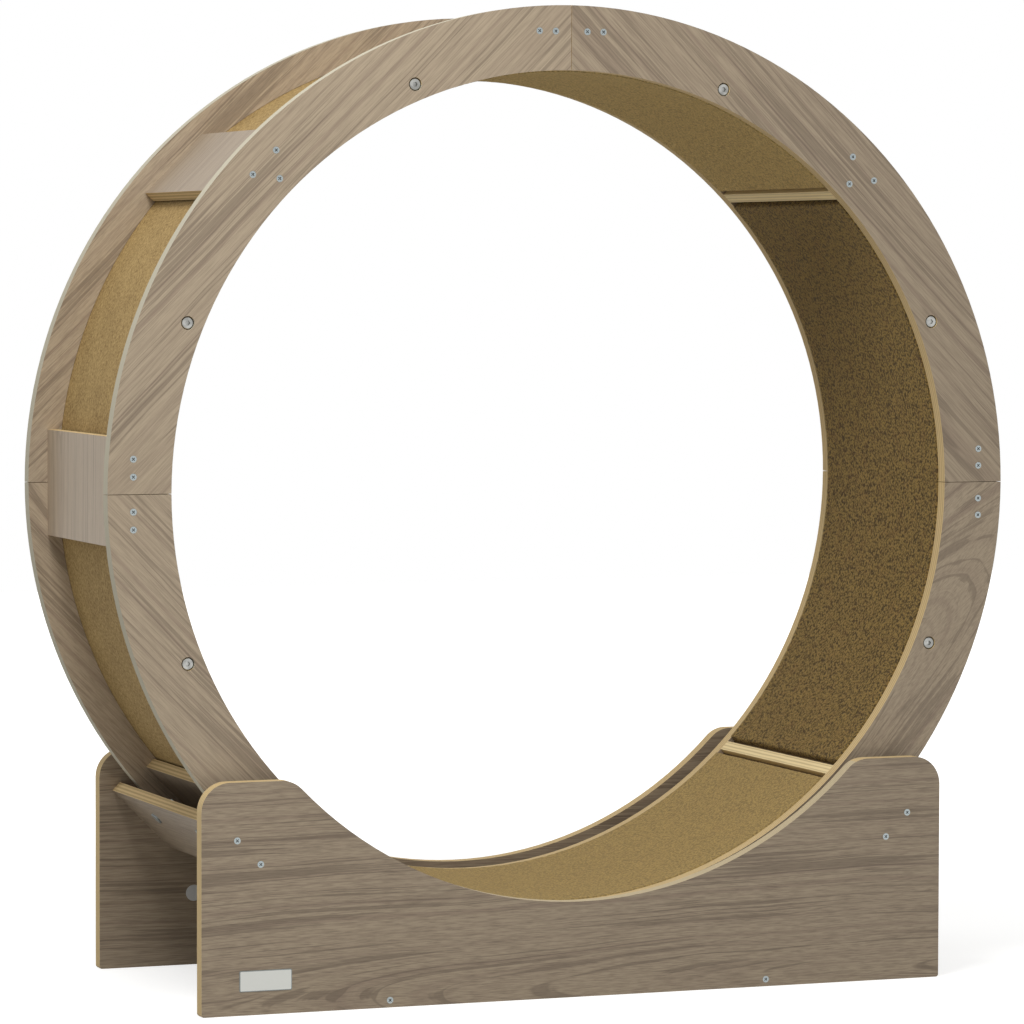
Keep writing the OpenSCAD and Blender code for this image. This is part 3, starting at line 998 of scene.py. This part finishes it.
class CATWHEEL_OT_carpets(bpy.types.Operator):
    """Make the four carpets of the running surface"""

    bl_idname = "cat_wheel.make_carpets"
    bl_label = "Make Carpets"

    def execute(self, context):
        for index, quarter in enumerate(QUARTERS):
            node_name = quarter + "_carpet"
            material = needled_carpet("needled_" + node_name, CARPET_PAINTED_SHEEN[quarter])
            mesh = carpet_mesh(quarter + "_carpet_pile", node_name, angle_of(index))
            mesh.materials.append(material)
            piece = bpy.data.objects.new(quarter + "_carpet_pile", mesh)
            context.scene.collection.objects.link(piece)
            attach(piece, "wheel")
            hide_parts(node_name)
        return {"FINISHED"}


class CATWHEEL_OT_base(bpy.types.Operator):
    """Finish the side panels and the boards of the base"""

    bl_idname = "cat_wheel.dress_base"
    bl_label = "Dress Base"

    def execute(self, context):
        chance = random.Random(SEEDS["base"])
        for end, greyed_side in zip(ENDS, (-0.5, 0)):
            node_name = end + "_side_panel"
            turn = Euler((0, chance.uniform(-0.02, 0.02), chance.uniform(-0.06, 0.06)))
            pith = (chance.uniform(-300, 300), chance.uniform(25, 45), chance.uniform(-160, 160))
            material = laminated_plywood(
                "laminate_" + node_name,
                node_name,
                turn,
                pith,
                ACROSS_THE_WHEEL,
                ply_contrast=0.45,
                figure=1.2,
                greyed_side=greyed_side,
            )
            dress(node_name, material)
        for side, angle in zip(SIDES, (-QUARTER_TURN - EIGHTH_TURN, -EIGHTH_TURN)):
            node_name = side + "_cross_board"
            turn = Euler((0, 0, -QUARTER_TURN))
            pith = (chance.uniform(-200, 200), chance.uniform(-80, 80), chance.uniform(30, 60))
            material = laminated_plywood(
                "laminate_" + node_name,
                node_name,
                turn,
                pith,
                radial(angle),
                ply_contrast=0.6,
            )
            dress(node_name, material)
        material = laminated_plywood(
            "laminate_bottom_board",
            "bottom_board",
            turn=Euler((0, 0, 0)),
            pith=(60, -90, 40),
            face_axis=Vector((0, 0, 1)),
            ply_contrast=0.9,
        )
        dress("bottom_board", material)
        return {"FINISHED"}


class CATWHEEL_OT_fasteners(bpy.types.Operator):
    """Finish the screws, bolts, nuts and tie rods"""

    bl_idname = "cat_wheel.dress_fasteners"
    bl_label = "Dress Fasteners"

    def execute(self, context):
        metal = settings().metal
        zinc = plated_steel("blue_zinc_plated_steel", metal.zinc, roughness=0.35)
        nickel = plated_steel(
            "nickel_plated_steel",
            metal.nickel,
            roughness=0.35,
            recess=1.5,
            shaded_to=0.1,
            dulled=0.35,
        )
        zinc_nodes = ["tie_rods", "cross_board_bolts", "cross_board_nuts"]
        zinc_nodes += ["axle_bolts", "axle_nuts", "bracket_screws"]
        for end in ENDS:
            zinc_nodes += [end + "_ring_screws", end + "_panel_screws"]
            dress(end + "_ring_bolts", nickel)
        for node_name in zinc_nodes:
            dress(node_name, zinc)
        return {"FINISHED"}


class CATWHEEL_OT_rollers(bpy.types.Operator):
    """Finish the four rollers and their brackets"""

    bl_idname = "cat_wheel.dress_rollers"
    bl_label = "Dress Rollers"

    def execute(self, context):
        nylon = turned_nylon()
        steel = plated_steel("zinc_plated_sheet", settings().metal.zinc, roughness=0.45)
        for side in SIDES:
            for end in ENDS:
                dress(f"{side}_{end}_roller", nylon)
                dress(f"{side}_{end}_bracket", steel)
        return {"FINISHED"}


class CATWHEEL_OT_marks(bpy.types.Operator):
    """Finish the bare name plate and the round label"""

    bl_idname = "cat_wheel.dress_marks"
    bl_label = "Dress Marks"

    def execute(self, context):
        dress("name_plate", anodised_plate())
        dress("panel_mark", coated_paper())
        return {"FINISHED"}


def add_lamp(name, place, size, power):
    """A square area lamp that faces the wheel's middle."""
    data = bpy.data.lights.new(name, "AREA")
    data.energy = power
    data.size = size
    lamp = bpy.data.objects.new(name, data)
    bpy.context.scene.collection.objects.link(lamp)
    lamp.location = place
    lamp.rotation_euler = (AXIS - Vector(place)).to_track_quat("-Z", "Y").to_euler()
    return lamp


def white_to_camera(tree):
    """1 for the rays that show the studio or its reflection, and 0 for the light that falls on the wheel."""
    rays = put(tree, "ShaderNodeLightPath").node.outputs
    seen = put(
        tree,
        "ShaderNodeMath",
        {0: rays["Is Camera Ray"], 1: rays["Is Glossy Ray"]},
        operation="ADD",
    )
    return put(
        tree,
        "ShaderNodeMath",
        {0: seen, 1: rays["Is Transmission Ray"]},
        operation="ADD",
        use_clamp=True,
    )


def studio_paper():
    """White studio paper: it takes a soft shadow near the wheel and runs out to plain white."""
    material, tree = new_material("white_studio_paper")
    studio = settings().studio
    object_place = put(tree, "ShaderNodeTexCoord").node.outputs["Object"]
    reach = put(tree, "ShaderNodeVectorMath", {0: object_place}, operation="LENGTH")
    fade = put(
        tree,
        "ShaderNodeMapRange",
        {
            "Value": reach.node.outputs["Value"],
            "From Min": 0.8,
            "From Max": 1.6,
            "To Min": studio.floor_glow,
        },
        interpolation_type="SMOOTHSTEP",
    )
    seen = white_to_camera(tree)
    strength = put(tree, "ShaderNodeMath", {0: fade, 1: seen}, operation="MULTIPLY")
    paper = put(tree, "ShaderNodeBsdfDiffuse", {"Color": studio.paper})
    glow = put(tree, "ShaderNodeEmission", {"Color": (1, 1, 1), "Strength": strength})
    both = put(tree, "ShaderNodeAddShader", {0: paper, 1: glow})
    close(tree, both)
    return material


class CATWHEEL_OT_studio(bpy.types.Operator):
    """Set up the camera, the lamps and the white floor"""

    bl_idname = "cat_wheel.set_studio"
    bl_label = "Set Up Studio"

    def execute(self, context):
        scene = context.scene
        studio = settings().studio
        scene.view_settings.view_transform = "Standard"

        half = 6.0
        corners = [(-half, -half, 0), (half, -half, 0), (half, half, 0), (-half, half, 0)]
        mesh = bpy.data.meshes.new("studio_floor")
        mesh.from_pydata(corners, [], [range(len(corners))])
        mesh.materials.append(studio_paper())
        floor = bpy.data.objects.new("studio_floor", mesh)
        scene.collection.objects.link(floor)

        key = add_lamp("key_lamp", place=(-0.9, -1.05, 2.2), size=0.7, power=studio.key_power)
        key.visible_camera = False

        world = bpy.data.worlds.new("studio_world")
        world.use_nodes = True
        tree = world.node_tree
        tree.nodes.clear()
        heading = put(tree, "ShaderNodeTexCoord").node.outputs["Generated"]
        rise = put(tree, "ShaderNodeSeparateXYZ", {"Vector": heading}).node.outputs["Z"]
        from_level, from_above = 0.4 * studio.ambient, 1.7 * studio.ambient
        sky = put(
            tree,
            "ShaderNodeMapRange",
            {"Value": rise, "To Min": from_level, "To Max": from_above},
        )
        strength = put(
            tree,
            "ShaderNodeMix",
            {"Factor": white_to_camera(tree), "A": sky, "B": 1},
            data_type="FLOAT",
        )
        background = put(tree, "ShaderNodeBackground", {"Color": (1, 1, 1), "Strength": strength})
        put(tree, "ShaderNodeOutputWorld", {"Surface": background})
        scene.world = world

        data = bpy.data.cameras.new("studio_camera")
        data.lens = studio.lens
        data.clip_end = 50
        camera = bpy.data.objects.new("studio_camera", data)
        scene.collection.objects.link(camera)
        flat = math.cos(studio.elevation)
        back = Vector((
            math.sin(studio.azimuth) * flat,
            -math.cos(studio.azimuth) * flat,
            math.sin(studio.elevation),
        ))
        right = Vector((math.cos(studio.azimuth), math.sin(studio.azimuth), 0))
        facing = Matrix((right, back.cross(right), back)).transposed()
        facing = facing @ Matrix.Rotation(studio.roll, 3, "Z")
        place = AXIS + Vector(studio.target) + back * studio.distance
        camera.matrix_world = Matrix.Translation(place) @ facing.to_4x4()
        scene.camera = camera
        return {"FINISHED"}


STEPS = (
    CATWHEEL_OT_studio,
    CATWHEEL_OT_rings,
    CATWHEEL_OT_boards,
    CATWHEEL_OT_panels,
    CATWHEEL_OT_carpets,
    CATWHEEL_OT_base,
    CATWHEEL_OT_fasteners,
    CATWHEEL_OT_rollers,
    CATWHEEL_OT_marks,
)


class CATWHEEL_PT_sidebar(bpy.types.Panel):
    """The wheel's settings and its steps"""

    bl_label = "Cat Wheel"
    bl_idname = "CATWHEEL_PT_sidebar"
    bl_space_type = "VIEW_3D"
    bl_region_type = "UI"
    bl_category = "Cat Wheel"

    def draw(self, context):
        layout = self.layout
        wheel = context.scene.cat_wheel
        for name in CatWheelSettings.__annotations__:
            box = layout.box()
            box.label(text=name.title())
            group = getattr(wheel, name)
            for value in type(group).__annotations__:
                box.prop(group, value)
        for step in STEPS:
            layout.operator(step.bl_idname)


CLASSES = (
    CatWheelLaminate,
    CatWheelPly,
    CatWheelBoard,
    CatWheelCarpet,
    CatWheelMetal,
    CatWheelStudio,
    CatWheelSettings,
    *STEPS,
    CATWHEEL_PT_sidebar,
)


def register():
    for each in CLASSES:
        bpy.utils.register_class(each)
    bpy.types.Scene.cat_wheel = bpy.props.PointerProperty(type=CatWheelSettings)


def unregister():
    del bpy.types.Scene.cat_wheel
    for each in reversed(CLASSES):
        bpy.utils.unregister_class(each)


def main():
    """Builds the whole scene."""
    register()
    bpy.ops.cat_wheel.set_studio()
    bpy.ops.cat_wheel.dress_rings()
    bpy.ops.cat_wheel.dress_boards()
    bpy.ops.cat_wheel.dress_panels()
    bpy.ops.cat_wheel.make_carpets()
    bpy.ops.cat_wheel.dress_base()
    bpy.ops.cat_wheel.dress_fasteners()
    bpy.ops.cat_wheel.dress_rollers()
    bpy.ops.cat_wheel.dress_marks()


if __name__ == "__main__":
    main()
